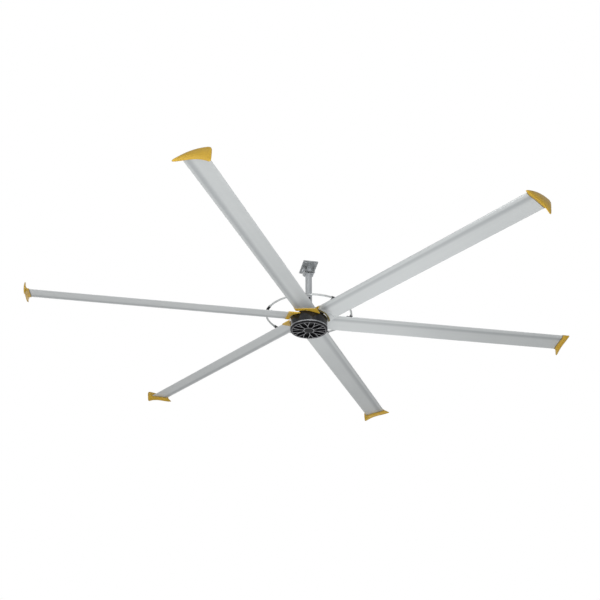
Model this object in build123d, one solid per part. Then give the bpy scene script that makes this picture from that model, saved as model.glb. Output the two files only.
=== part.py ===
from build123d import *
import os
from math import cos, degrees, radians, sin, sqrt

# A six-blade ceiling fan of the high-volume, low-speed kind, hung on a short tube under a ceiling plate.
# Millimetres, +Z up. The origin is the centre of the ceiling plate's top face, and blade 1 points along +X.

# Fit clearances
PRESS_GAP = 0.02
RUNNING_GAP = 0.05
SLIDE_GAP = 0.2
BODY_GAP = 0.3

# Blades
BLADE_COUNT = 6
BLADE_DROP = 540.0
BLADE_ROOT = 190.0
BLADE_TIP = 2417.0
BLADE_CHORD = 204.0
BLADE_THICKNESS = 27.5
BLADE_CAMBER = 7.1
CAMBER_PLACE = 0.4
TRAILING_THICKNESS = 3.0
HOLLOW_RISE = 4.0
HOLLOW_PLACE = 0.5
HOLLOW_REACH = 0.4
BLADE_PITCH = 11.1
PITCH_AXIS = 67.3
PITCH_AXIS_RISE = 6.75
BLADE_SKIN = 2.5
SPAR_START = 34.0
SPAR_WIDTH = 70.0

# Winglets at the blade ends
COLLAR_WALL = 4.0
COLLAR_LAP = 17.0
WINGLET_REACH = 22.0
FIN_THICKNESS = 5.0
FIN_LEAN = 0.1
FIN_BULGE = 17.0
FIN_MIDDLE = 34.0
FIN_TOP = 36.0
FIN_MIDDLE_DROP = 42.0
FIN_TAIL = 122.0
FIN_TAIL_DROP = 5.0
FIN_NOSE = 66.0
FIN_NOSE_DROP = 20.0
FIN_BLUNT = 168.0
FIN_BLUNT_TOP = 31.0
FIN_FOOT = 160.0
FIN_FOOT_DROP = 84.0
FIN_CORNER = 12.0

# Root caps round the drum
CAP_WALL = 4.0
CAP_OUTER = 205.0
CAP_DRUM_GAP = 8.0

# Drum and its inside
DRUM_RADIUS = 165.0
DRUM_WALL = 13.0
DRUM_TOP_BELOW = 4.0
DRUM_TOP_WALL = 8.0
DRUM_BOTTOM_BELOW = 92.0
BOSS_WALL = 11.0
LIP_THICKNESS = 6.0
LIP_WIDTH = 7.0

# Finned cover
COVER_FLANGE = 25.0
COVER_LAND = 10.0
COVER_EDGE = 5.0
COVER_SPIGOT = 2.0
COVER_LIP = 9.0
RECESS_DEPTH = 20.5
RECESS_INNER = 48.0
RECESS_OUTER = 149.0
RIB_WIDTH = 5.0
RIB_COUNT = 10
RIB_FORK = 84.0
TRIM_WALL = 3.45
CAP_DISC_RADIUS = 41.0
CAP_DISC_THICKNESS = 3.0
CAP_SPIGOT = 3.0
COVER_SCREW_COUNT = 10
COVER_SCREW_RADIUS = 3.0
COVER_SCREW_LENGTH = 18.0
COVER_HEAD_RADIUS = 5.0
COVER_HEAD_HEIGHT = 4.0

# Bearings
BEARING_BORE = 25.0
BEARING_OUTER = 45.0
BEARING_WIDTH = 20.0
RACE_WALL = 6.5
BALL_RADIUS = 6.0
BALL_COUNT = 10

# Motor
STATOR_RADIUS = 133.0
STATOR_INNER = 98.0
STATOR_YOKE = 10.0
STATOR_HEIGHT = 48.0
STATOR_DROP = 50.0
TOOTH_COUNT = 24
TOOTH_WIDTH = 13.0
TOOTH_SHOE = 4.0
SLOT_MOUTH = 4.0
COIL_BUILD = 5.5
COIL_GAP = 0.4
CARRIER_RIM = 6.0
CARRIER_WEB = 14.0
CARRIER_COLLAR = 8.0
CARRIER_HOLES = 6
CARRIER_HOLE_RADIUS = 14.0
AIR_GAP = 1.2
MAGNET_THICKNESS = 7.7
MAGNET_COUNT = 28
MAGNET_SHARE = 0.86
MAGNET_HEIGHT = 52.0
BACK_IRON_HEIGHT = 56.0

# Spindle and downrod
SPINDLE_BORE = 9.0
SPINDLE_COLLAR = 34.0
SPINDLE_COLLAR_HEIGHT = 10.0
COLLAR_RISE = 20.0
PLUG_LENGTH = 206.0
DOWNROD_OUTER = 30.15
DOWNROD_WALL = 3.9
SPINDLE_BOLT_RISES = (90.0, 194.0)
M12_RADIUS = 6.0
M12_HEAD_RADIUS = 10.4
M12_HEAD_HEIGHT = 7.5
GROMMET_WALL = 4.0
GROMMET_FLANGE = 3.0
CATCH_DISC_THICKNESS = 3.0
CATCH_DISC_RADIUS = 34.0
LOCK_NUT_RADIUS = 32.0
LOCK_NUT_HEIGHT = 6.0

# Blade arms
ARM_FOOT_INNER = 80.0
ARM_FOOT_OUTER = 140.0
ARM_FOOT_WIDTH = 80.0
ARM_THICKNESS = 16.0
ARM_NECK_START = 170.0
ARM_NECK_WIDTH = 66.0
ARM_CAMBER_RISE = 7.0
ARM_TIP = 368.0
ARM_BOLT_RADII = (95.0, 122.0)
ARM_BOLT_HALF_SPACING = 26.0
CLAMP_PLATE_INNER = 62.0
CLAMP_PLATE_OUTER = 139.0
CLAMP_PLATE_THICKNESS = 6.0

# Bolts and screws on the blades
M8_RADIUS = 4.0
M8_HEAD_RADIUS = 7.5
M8_HEAD_HEIGHT = 5.5
M8_LENGTH = 18.0
BLADE_BOLT_PLACES = (250.0, 295.0, 340.0)
BLADE_BOLT_CHORD = 69.3
M5_RADIUS = 2.5
M5_HEAD_RADIUS = 4.6
M5_HEAD_HEIGHT = 2.8
M5_LENGTH = 9.0
TRIM_SCREW_CHORDS = (22.0, 122.0)
SPOT_FACE_DEPTH = 1.2

# Safety ring
RING_RADIUS = 380.0
RING_RISE = 39.5
RING_TUBE = 8.5
RING_TUBE_WALL = 1.5
RING_END_GAP = 1.0
SLEEVE_WALL = 3.5
SLEEVE_FROM = -66.0
SLEEVE_TO = 100.0
FOOT_CHORDS = (22.0, 122.0)
FOOT_LENGTH = 20.0
FOOT_WIDTH = 22.0
TAB_REACH = 44.0
TAB_THICKNESS = 5.0

# Ceiling bracket
PLATE_WIDTH = 137.0
PLATE_DEPTH = 228.0
PLATE_THICKNESS = 8.0
PLATE_CORNER = 6.0
SLOT_SPACING_X = 84.0
SLOT_SPACING_Y = 176.0
SLOT_LENGTH = 26.0
SLOT_RADIUS = 6.75
TETHER_HOLE_RADIUS = 7.0
SWIVEL_DROP = 44.0
EAR_WIDTH = 46.0
EAR_THICKNESS = 8.0
EAR_BELOW_PIN = 18.0
EAR_CORNER = 17.0
YOKE_WIDTH = 102.0
YOKE_DEPTH = 66.0
YOKE_THICKNESS = 6.0
YOKE_ABOVE_PIN = 23.0
YOKE_BELOW_PIN = 44.0
YOKE_CORNER = 24.0
YOKE_TOP_CORNER = 16.0
GIMBAL_HALF_DEPTH = 21.0
GIMBAL_HEIGHT = 28.0
GIMBAL_CORNER = 4.0
CABLE_WAY = 9.0
SWIVEL_PIN_RADIUS = 8.0
SWIVEL_PIN_GRIP = 11.0
SWIVEL_HEAD_RADIUS = 13.8
SWIVEL_HEAD_HEIGHT = 8.0
BUSH_WALL = 3.0
BUSH_FLANGE_RADIUS = 13.5
BUSH_FLANGE = 0.8

# Heights that follow from the sizes above
BLADE_Z = -BLADE_DROP
DRUM_TOP = BLADE_Z - DRUM_TOP_BELOW
DRUM_BOTTOM = BLADE_Z - DRUM_BOTTOM_BELOW
DRUM_INNER = DRUM_RADIUS - DRUM_WALL
COVER_BOTTOM = DRUM_BOTTOM - COVER_FLANGE
COVER_TOP = DRUM_BOTTOM + COVER_SPIGOT
COVER_SCREW_SEAT = DRUM_BOTTOM - COVER_LAND
TRIM_OUTER = DRUM_RADIUS + 2
UPPER_BEARING_TOP = DRUM_TOP - LIP_THICKNESS
UPPER_BEARING_BOTTOM = UPPER_BEARING_TOP - BEARING_WIDTH
LOWER_BEARING_BOTTOM = COVER_BOTTOM + RECESS_DEPTH + COVER_LIP - 0.5
LOWER_BEARING_TOP = LOWER_BEARING_BOTTOM + BEARING_WIDTH
STATOR_Z = BLADE_Z - STATOR_DROP
MAGNET_INNER = STATOR_RADIUS + AIR_GAP
MAGNET_OUTER = MAGNET_INNER + MAGNET_THICKNESS
COLLAR_Z = BLADE_Z + COLLAR_RISE
DOWNROD_INNER = DOWNROD_OUTER - DOWNROD_WALL
DOWNROD_BOTTOM = COLLAR_Z + SPINDLE_COLLAR_HEIGHT
SWIVEL_Z = -SWIVEL_DROP
YOKE_TOP = SWIVEL_Z + YOKE_ABOVE_PIN
YOKE_BOTTOM = SWIVEL_Z - YOKE_BELOW_PIN
YOKE_INNER = YOKE_WIDTH / 2 - YOKE_THICKNESS
DOWNROD_TOP = YOKE_BOTTOM + YOKE_THICKNESS
ARM_FOOT_TOP = DRUM_TOP + ARM_THICKNESS
GIMBAL_HALF_WIDTH = YOKE_INNER - BODY_GAP - BUSH_FLANGE
EAR_INNER = GIMBAL_HALF_DEPTH + BUSH_FLANGE + BODY_GAP
CAP_INNER = DRUM_RADIUS + CAP_DRUM_GAP
BLADE_STEP = 360.0 / BLADE_COUNT


def ring(outer, inner, bottom, height):
    """A plain ring about the Z axis."""
    disc = Cylinder(outer, height, align=(Align.CENTER, Align.CENTER, Align.MIN))
    hole = Cylinder(inner, height * 3, align=(Align.CENTER, Align.CENTER, Align.CENTER))
    return Pos(0, 0, bottom) * (disc - hole)


def disc(radius, bottom, height):
    """A plain disc about the Z axis."""
    return Pos(0, 0, bottom) * Cylinder(radius, height, align=(Align.CENTER, Align.CENTER, Align.MIN))


def hex_bolt(radius, length, head_radius, head_height):
    """A hexagon bolt whose head stands on Z = 0 and whose shank runs down."""
    head = extrude(RegularPolygon(head_radius, 6), head_height)
    shank = Cylinder(radius, length, align=(Align.CENTER, Align.CENTER, Align.MAX))
    return head + shank


def pan_screw(radius, length, head_radius, head_height):
    """A round-headed screw whose head stands on Z = 0 and whose shank runs down."""
    head = Cylinder(head_radius, head_height, align=(Align.CENTER, Align.CENTER, Align.MIN))
    top = head.faces().sort_by(Axis.Z)[-1]
    head = fillet(top.edges(), head_height * 0.4)
    shank = Cylinder(radius, length, align=(Align.CENTER, Align.CENTER, Align.MAX))
    return head + shank


def round_copies(shape, count):
    """Copies of a shape, evenly spaced about the Z axis."""
    return [Rot(0, 0, i * 360.0 / count) * shape for i in range(count)]


def airfoil_half(place):
    """Half the thickness of the blade section at a place from 0, its front, to 1, its back."""
    shape = 0.2969 * sqrt(place) - 0.1260 * place - 0.3516 * place**2 + 0.2843 * place**3 - 0.1036 * place**4
    return 5 * BLADE_THICKNESS * shape + TRAILING_THICKNESS / 2 * place


def airfoil_camber(place):
    """Height of the blade section's middle line over its chord."""
    if place < CAMBER_PLACE:
        return BLADE_CAMBER * (2 * place / CAMBER_PLACE - (place / CAMBER_PLACE) ** 2)
    rest = 1 - CAMBER_PLACE
    return BLADE_CAMBER * (1 - ((place - CAMBER_PLACE) / rest) ** 2)


def airfoil_hollow(place):
    """How far the section's lower line is drawn up between its front and its back."""
    away = min(1.0, abs(place - HOLLOW_PLACE) / HOLLOW_REACH)
    return HOLLOW_RISE * (1 - away**2) ** 2


def airfoil_point(place, side, inset=0.0):
    """A point of the section's upper (+1) or lower (-1) line, moved inwards by the inset."""
    height = airfoil_camber(place) + side * (airfoil_half(place) - inset)
    if side < 0:
        height += airfoil_hollow(place)
    return (place * BLADE_CHORD - PITCH_AXIS, height)


def section_plane(along):
    """The plane across blade 1 at a distance from the fan's axis. Its X runs along the chord to the back."""
    tilt = radians(BLADE_PITCH)
    return Plane(
        origin=(along, 0, BLADE_Z + PITCH_AXIS_RISE),
        x_dir=(0, cos(tilt), -sin(tilt)),
        z_dir=(1, 0, 0),
    )


def grown_point(place, side, grow):
    """A point of the section's upper or lower line, moved outwards by the growth."""
    if place == 0:
        return (-PITCH_AXIS - grow, 0)
    along, height = airfoil_point(place, side)
    if place == 1:
        return (along + grow, height + side * grow)
    step = place / 100
    ahead = airfoil_point(place + step, side)
    behind = airfoil_point(place - step, side)
    slope = (ahead[1] - behind[1]) / (ahead[0] - behind[0])
    size = sqrt(1 + slope**2)
    return (along - side * slope / size * grow, height + side * grow / size)


def airfoil_face(grow=0.0):
    """The outside of the blade section, grown all round by a wall or a clearance."""
    steps = [0.0, 0.008, 0.03, 0.075, 0.15, 0.26, 0.4, 0.56, 0.72, 0.87, 1.0]
    upper = [grown_point(place, 1, grow) for place in reversed(steps)]
    lower = [grown_point(place, -1, grow) for place in steps[1:]]
    outline = Spline(*upper, *lower)
    back = Line(lower[-1], upper[0])
    return make_face([outline, back])


def cell_face(start, end, inset):
    """One hollow of the blade section between two places along the chord, in millimetres from the front."""
    places = [(start + (end - start) * step / 4) / BLADE_CHORD for step in range(5)]
    upper = Spline(*[airfoil_point(place, 1, inset) for place in places])
    lower = Spline(*[airfoil_point(place, -1, inset) for place in places])
    front = Line(lower @ 0, upper @ 0)
    back = Line(upper @ 1, lower @ 1)
    return make_face([upper, back, lower, front])


def along_blade(face, start, end):
    """A section face stretched along blade 1 between two distances from the fan's axis."""
    return extrude(section_plane(start) * face, end - start)


def on_blade(shape, along, chord, height):
    """Puts a shape made on Z = 0 on the blade, its Z along the section's upright."""
    place = Plane(section_plane(along).location * Location((chord - PITCH_AXIS, height, 0)))
    upright = Plane(origin=place.origin, x_dir=(1, 0, 0), z_dir=place.y_dir)
    return upright.location * shape


def blade_top(chord):
    """Height of the section's upper line at a distance from its front."""
    return airfoil_point(chord / BLADE_CHORD, 1)[1]


# Blade with its three hollows
def make_blade():
    shell = along_blade(airfoil_face(), BLADE_ROOT, BLADE_TIP)
    spar_end = SPAR_START + SPAR_WIDTH
    front = cell_face(4 * BLADE_SKIN, SPAR_START - BLADE_SKIN, BLADE_SKIN)
    middle = cell_face(SPAR_START, spar_end, BLADE_SKIN)
    back = cell_face(spar_end + BLADE_SKIN, BLADE_CHORD * 0.84, BLADE_SKIN)
    for cell in (front, middle, back):
        shell -= along_blade(cell, BLADE_ROOT - 1, BLADE_TIP + 1)
    for along in BLADE_BOLT_PLACES:
        shell -= on_blade(Cylinder(M8_RADIUS + PRESS_GAP, 12), along, BLADE_BOLT_CHORD, blade_top(BLADE_BOLT_CHORD))
    for chord in FOOT_CHORDS:
        hole = Cylinder(M8_RADIUS + PRESS_GAP, 12)
        shell -= on_blade(hole, RING_RADIUS - TAB_REACH + M8_HEAD_RADIUS + 2, chord, blade_top(chord))
    for chord in TRIM_SCREW_CHORDS:
        for along in (cap_screw_place(), winglet_screw_place()):
            shell -= on_blade(Cylinder(M5_RADIUS + PRESS_GAP, 12), along, chord, blade_top(chord))
    return shell


def cap_screw_place():
    return (BLADE_ROOT + CAP_OUTER) / 2


def winglet_screw_place():
    return BLADE_TIP - COLLAR_LAP / 2


# Arm that carries a blade: a flat foot, a twisted neck and a spar that fills the blade's middle hollow
def make_arm():
    foot_length = ARM_FOOT_OUTER - ARM_FOOT_INNER
    middle = (ARM_FOOT_INNER + ARM_FOOT_OUTER) / 2
    foot = Pos(middle, 0, DRUM_TOP + ARM_THICKNESS / 2) * Box(foot_length, ARM_FOOT_WIDTH, ARM_THICKNESS)
    foot_plane = Plane(
        origin=(ARM_FOOT_OUTER, 0, DRUM_TOP + ARM_THICKNESS / 2), x_dir=(0, 1, 0), z_dir=(1, 0, 0)
    )
    neck_face = Pos(0, ARM_CAMBER_RISE) * Rectangle(ARM_NECK_WIDTH, ARM_THICKNESS)
    start = foot_plane * Rectangle(ARM_FOOT_WIDTH, ARM_THICKNESS)
    twist = loft([start, section_plane(ARM_NECK_START) * neck_face], ruled=True)
    neck = along_blade(neck_face, ARM_NECK_START, BLADE_ROOT)
    spar_face = cell_face(
        SPAR_START + SLIDE_GAP, SPAR_START + SPAR_WIDTH - SLIDE_GAP, BLADE_SKIN + SLIDE_GAP
    )
    spar = along_blade(spar_face, BLADE_ROOT - 2, ARM_TIP)
    arm = foot + twist + neck + spar
    for along in ARM_BOLT_RADII:
        for side in (-1, 1):
            hole = Cylinder(M12_RADIUS + RUNNING_GAP, ARM_THICKNESS * 3)
            arm -= Pos(along, side * ARM_BOLT_HALF_SPACING, DRUM_TOP) * hole
    for along in BLADE_BOLT_PLACES:
        hole = Cylinder(M8_RADIUS + PRESS_GAP, M8_LENGTH * 2 + 1)
        arm -= on_blade(hole, along, BLADE_BOLT_CHORD, blade_top(BLADE_BOLT_CHORD))
    return arm


# Root cap: a sleeve over the blade's root that follows the drum on its inner side
def make_root_cap():
    outside = airfoil_face(CAP_WALL)
    reach = CAP_INNER * 0.5
    body = along_blade(outside, reach, CAP_OUTER)
    body -= disc(CAP_INNER, BLADE_Z - 100, 200)
    seat = airfoil_face(SLIDE_GAP)
    body -= along_blade(seat, BLADE_ROOT - SLIDE_GAP, CAP_OUTER + 1)
    pocket = along_blade(airfoil_face(), reach - 1, BLADE_ROOT)
    body -= pocket - disc(CAP_INNER + CAP_WALL, BLADE_Z - 100, 200)
    opening = Pos(0, ARM_CAMBER_RISE) * Rectangle(ARM_NECK_WIDTH + 4, ARM_THICKNESS + 4)
    body -= along_blade(opening, CAP_INNER - 20, CAP_INNER + 2 * CAP_WALL)
    for chord in TRIM_SCREW_CHORDS:
        body -= screw_cut(cap_screw_place(), chord, CAP_WALL)
    return body


def screw_cut(along, chord, wall):
    """The hole and spot face for a trim screw in a wall over the blade."""
    hole = Cylinder(M5_RADIUS + PRESS_GAP, M5_LENGTH * 3)
    face = Cylinder(M5_HEAD_RADIUS + 0.2, 10, align=(Align.CENTER, Align.CENTER, Align.MIN))
    cut = hole + face
    return on_blade(cut, along, chord, blade_top(chord) + wall - SPOT_FACE_DEPTH)


# Winglet: a collar over the blade's end that runs out into an upright fin
def make_winglet():
    start = BLADE_TIP - COLLAR_LAP
    end = BLADE_TIP + WINGLET_REACH + FIN_BULGE + FIN_TOP
    collar = along_blade(airfoil_face(COLLAR_WALL), start, end)
    collar -= along_blade(airfoil_face(SLIDE_GAP), start - 1, BLADE_TIP + SLIDE_GAP)
    collar -= along_blade(airfoil_face(), BLADE_TIP, end + 1)
    collar &= fin_slab(FIN_THICKNESS / 2, WINGLET_REACH + FIN_BULGE + 2 * COLLAR_LAP)
    outline = Plane(origin=(BLADE_TIP, 0, BLADE_Z), x_dir=(0, 1, 0), z_dir=(1, 0, 0)) * fin_outline()
    fin = extrude(outline, end - BLADE_TIP) & fin_slab(0, FIN_THICKNESS)
    winglet = collar + fin
    for chord in TRIM_SCREW_CHORDS:
        winglet -= screw_cut(winglet_screw_place(), chord, COLLAR_WALL)
    return winglet


def fin_outline():
    """The fin seen along the blade: a pointed tail in front and a blunt end behind."""
    tail = (-FIN_TAIL, -FIN_TAIL_DROP)
    blunt = (FIN_BLUNT, FIN_BLUNT_TOP)
    foot = (FIN_FOOT, -FIN_FOOT_DROP)
    top = ThreePointArc(tail, (FIN_MIDDLE, FIN_TOP), blunt)
    end = Line(blunt, foot)
    under = Spline(foot, (FIN_MIDDLE, -FIN_MIDDLE_DROP), (-FIN_NOSE, -FIN_NOSE_DROP), tail)
    outline = make_face([top, end, under])
    corners = outline.vertices().sort_by(Axis.X)[-2:]
    return fillet(corners, FIN_CORNER)


def fin_slab(near, far):
    """The room between two distances inside the fin's outer face, bulged and leaning as the fin is."""
    low = BLADE_Z - FIN_FOOT_DROP - 20
    height = FIN_FOOT_DROP + FIN_TOP + 40
    face_x = BLADE_TIP + WINGLET_REACH - FIN_LEAN * (BLADE_Z - low)
    outer = bulged_edge(face_x - near)
    inner = bulged_edge(face_x - far)
    front = Line(outer @ 0, inner @ 0)
    back = Line(outer @ 1, inner @ 1)
    plan = Pos(0, 0, low) * make_face([outer, back, inner, front])
    return extrude(plan, height, dir=(FIN_LEAN, 0, 1))


def bulged_edge(place):
    return ThreePointArc((place, -FIN_TAIL - 10), (place + FIN_BULGE, FIN_MIDDLE), (place, FIN_BLUNT + 10))


# Safety ring: one tube from blade to blade, and the saddle that holds two tube ends on a blade
def arc_tube(outer, start, end):
    """A round bar that follows the safety ring between two angles."""
    circle = Plane.XZ * Pos(RING_RADIUS, BLADE_Z + RING_RISE) * Circle(outer)
    return Rot(0, 0, start) * revolve(circle, Axis.Z, end - start)


def ring_angle(across):
    """The angle on the ring of a point that far across the blade."""
    return degrees(across / RING_RADIUS)


def make_ring_segment():
    joint = ring_angle((SLEEVE_FROM + SLEEVE_TO) / 2)
    gap = ring_angle(RING_END_GAP / 2)
    start = joint + gap
    end = joint + BLADE_STEP - gap
    return arc_tube(RING_TUBE, start, end) - arc_tube(RING_TUBE - RING_TUBE_WALL, start - 1, end + 1)


def make_ring_clamp():
    start = ring_angle(SLEEVE_FROM)
    end = ring_angle(SLEEVE_TO)
    clamp = arc_tube(RING_TUBE + SLEEVE_WALL, start, end)
    ring_level = RING_RISE - PITCH_AXIS_RISE
    for chord in FOOT_CHORDS:
        post_height = ring_level + (chord - PITCH_AXIS) * sin(radians(BLADE_PITCH))
        post = Box(FOOT_WIDTH, FOOT_LENGTH, post_height, align=(Align.CENTER, Align.CENTER, Align.MIN))
        clamp += on_blade(post, RING_RADIUS, chord, 0)
        tab_top = blade_top(chord) + TAB_THICKNESS
        tab_length = TAB_REACH + FOOT_WIDTH / 2
        tab = Box(tab_length, FOOT_LENGTH, tab_top, align=(Align.MIN, Align.CENTER, Align.MIN))
        clamp += on_blade(tab, RING_RADIUS - TAB_REACH, chord, 0)
        hole = Cylinder(M8_RADIUS + PRESS_GAP, 40)
        clamp -= on_blade(hole, RING_RADIUS - TAB_REACH + M8_HEAD_RADIUS + 2, chord, tab_top)
    clamp -= along_blade(airfoil_face(RUNNING_GAP), RING_RADIUS - 2 * TAB_REACH, RING_RADIUS + 2 * TAB_REACH)
    return clamp - arc_tube(RING_TUBE + RUNNING_GAP, start - 1, end + 1)


# Bolts and screws of the blades
def make_blade_bolts():
    bolt = hex_bolt(M8_RADIUS, M8_LENGTH, M8_HEAD_RADIUS, M8_HEAD_HEIGHT)
    bolts = []
    for along in BLADE_BOLT_PLACES:
        bolts.append(on_blade(bolt, along, BLADE_BOLT_CHORD, blade_top(BLADE_BOLT_CHORD) + 0.1))
    for chord in FOOT_CHORDS:
        along = RING_RADIUS - TAB_REACH + M8_HEAD_RADIUS + 2
        bolts.append(on_blade(bolt, along, chord, blade_top(chord) + TAB_THICKNESS))
    return bolts


def make_trim_screws():
    screw = pan_screw(M5_RADIUS, M5_LENGTH, M5_HEAD_RADIUS, M5_HEAD_HEIGHT)
    screws = []
    for chord in TRIM_SCREW_CHORDS:
        top = blade_top(chord) - SPOT_FACE_DEPTH
        screws.append(on_blade(screw, cap_screw_place(), chord, top + CAP_WALL))
        screws.append(on_blade(screw, winglet_screw_place(), chord, top + COLLAR_WALL))
    return screws


# Drum: the turning outer shell of the motor, with the upper bearing's seat
def make_drum():
    height = DRUM_TOP - DRUM_BOTTOM
    body = disc(DRUM_RADIUS, DRUM_BOTTOM, height)
    body -= disc(DRUM_INNER, DRUM_BOTTOM - 1, height - DRUM_TOP_WALL + 1)
    boss_bottom = UPPER_BEARING_BOTTOM
    body += disc(BEARING_OUTER + BOSS_WALL, boss_bottom, DRUM_TOP - boss_bottom)
    body -= disc(BEARING_OUTER + PRESS_GAP, boss_bottom - 1, BEARING_WIDTH + 1)
    body -= disc(BEARING_OUTER - LIP_WIDTH, boss_bottom, DRUM_TOP - boss_bottom + 1)
    for place in arm_bolt_places():
        body -= place * Cylinder(M12_RADIUS + PRESS_GAP, DRUM_TOP_WALL * 3)
    for place in cover_screw_places():
        length = COVER_SCREW_LENGTH + 1
        hole = Cylinder(COVER_SCREW_RADIUS + PRESS_GAP, length, align=(Align.CENTER, Align.CENTER, Align.MIN))
        body -= place * hole
    return body


def arm_bolt_places():
    """Where the arm bolts cross the drum's top face."""
    places = []
    for i in range(BLADE_COUNT):
        for along in ARM_BOLT_RADII:
            for side in (-1, 1):
                places.append(Rot(0, 0, i * BLADE_STEP) * Pos(along, side * ARM_BOLT_HALF_SPACING, DRUM_TOP))
    return places


def cover_screw_places():
    """Where the heads of the cover's screws begin, sunk in its flange."""
    radius = (DRUM_INNER + DRUM_RADIUS - TRIM_WALL) / 2
    turn = 360.0 / COVER_SCREW_COUNT
    return [
        Rot(0, 0, (i + 0.5) * turn) * Pos(radius, 0, COVER_SCREW_SEAT)
        for i in range(COVER_SCREW_COUNT)
    ]


def make_clamp_plate():
    plate = ring(CLAMP_PLATE_OUTER, CLAMP_PLATE_INNER, ARM_FOOT_TOP, CLAMP_PLATE_THICKNESS)
    for place in arm_bolt_places():
        plate -= place * Cylinder(M12_RADIUS + RUNNING_GAP, 4 * ARM_THICKNESS)
    return plate


def make_arm_bolts():
    top = ARM_FOOT_TOP + CLAMP_PLATE_THICKNESS
    grip = top - DRUM_TOP
    bolt = hex_bolt(M12_RADIUS, grip + DRUM_TOP_WALL - 1, M12_HEAD_RADIUS, M12_HEAD_HEIGHT)
    return [place * Pos(0, 0, grip) * bolt for place in arm_bolt_places()]


# Finned cover under the drum, with the lower bearing's seat
def make_cover():
    rim = TRIM_OUTER - TRIM_WALL - RUNNING_GAP
    body = disc(DRUM_RADIUS, COVER_BOTTOM, COVER_FLANGE - COVER_LAND)
    body = fillet(body.faces().sort_by(Axis.Z)[0].edges(), COVER_EDGE)
    body += disc(rim, COVER_BOTTOM + COVER_EDGE, COVER_FLANGE - COVER_EDGE)
    body += disc(DRUM_INNER - SLIDE_GAP, COVER_BOTTOM, COVER_TOP - COVER_BOTTOM)
    body += disc(BEARING_OUTER + BOSS_WALL, COVER_BOTTOM, LOWER_BEARING_TOP + 2 - COVER_BOTTOM)
    body -= disc(BEARING_OUTER + PRESS_GAP, LOWER_BEARING_BOTTOM, BEARING_WIDTH + 10)
    body -= disc(BEARING_OUTER - COVER_LIP, COVER_BOTTOM - 1, BEARING_WIDTH * 2)
    recess = ring(RECESS_OUTER, RECESS_INNER, COVER_BOTTOM - 1, RECESS_DEPTH + 1)
    body -= recess - cover_ribs()
    for place in cover_screw_places():
        sink = disc(COVER_HEAD_RADIUS + RUNNING_GAP, -COVER_FLANGE, COVER_FLANGE + COVER_HEAD_HEIGHT)
        body -= place * (sink + Cylinder(COVER_SCREW_RADIUS + PRESS_GAP, 4 * COVER_FLANGE))
    return body


def cover_ribs():
    """Ribs that fork outwards, each a stem and two branches."""
    turn = 360.0 / RIB_COUNT
    height = RECESS_DEPTH + 2
    ribs = []
    for i in range(RIB_COUNT):
        ribs.append(Rot(0, 0, i * turn) * rib_bar((RECESS_INNER - 4, 0), (RIB_FORK, 0), height))
        for side in (-1, 1):
            spread = radians(side * turn / 4)
            far = RECESS_OUTER + 4
            branch = rib_bar((RIB_FORK, 0), (far * cos(spread), far * sin(spread)), height)
            ribs.append(Rot(0, 0, i * turn) * branch)
    joined = ribs[0]
    for rib in ribs[1:]:
        joined += rib
    return joined


def rib_bar(start, end, height):
    """One straight rib between two points, standing on the cover's bottom face."""
    reach = Vector(*end) - Vector(*start)
    bar = Box(reach.length, RIB_WIDTH, height, align=(Align.MIN, Align.CENTER, Align.MIN))
    plane = Plane(origin=(*start, COVER_BOTTOM), x_dir=reach, z_dir=(0, 0, 1))
    return plane.location * bar


def make_trim_ring():
    return ring(TRIM_OUTER, TRIM_OUTER - TRIM_WALL, COVER_SCREW_SEAT, COVER_LAND)


def make_centre_cap():
    cap = disc(CAP_DISC_RADIUS, COVER_BOTTOM - CAP_DISC_THICKNESS, CAP_DISC_THICKNESS)
    edge = cap.faces().sort_by(Axis.Z)[0].edges()
    cap = fillet(edge, CAP_DISC_THICKNESS * 0.6)
    return cap + disc(BEARING_OUTER - COVER_LIP - RUNNING_GAP, COVER_BOTTOM, CAP_SPIGOT)


def make_cover_screws():
    head = disc(COVER_HEAD_RADIUS, 0, COVER_HEAD_HEIGHT)
    socket = extrude(RegularPolygon(COVER_SCREW_RADIUS, 6), COVER_HEAD_HEIGHT / 2)
    shank = disc(COVER_SCREW_RADIUS, COVER_HEAD_HEIGHT, COVER_SCREW_LENGTH - COVER_HEAD_HEIGHT)
    return [place * (head + shank - socket) for place in cover_screw_places()]


# Bearings
def bearing_rings(inner, outer, groove_gap):
    """The same race ring at both bearing places, grooved for the balls."""
    centre = (BEARING_BORE + BEARING_OUTER) / 2
    groove = Torus(centre, BALL_RADIUS + groove_gap)
    rings = []
    for bottom in (UPPER_BEARING_BOTTOM, LOWER_BEARING_BOTTOM):
        race = ring(outer, inner, bottom, BEARING_WIDTH)
        rings.append(race - Pos(0, 0, bottom + BEARING_WIDTH / 2) * groove)
    return rings


def make_balls():
    centre = (BEARING_BORE + BEARING_OUTER) / 2
    balls = []
    for bottom in (UPPER_BEARING_BOTTOM, LOWER_BEARING_BOTTOM):
        ball = Pos(centre, 0, bottom + BEARING_WIDTH / 2) * Sphere(BALL_RADIUS)
        balls += round_copies(ball, BALL_COUNT)
    return balls


def make_shaft_seal():
    return ring(BEARING_OUTER - LIP_WIDTH - PRESS_GAP, BEARING_BORE + BODY_GAP, UPPER_BEARING_TOP, LIP_THICKNESS)


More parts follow.
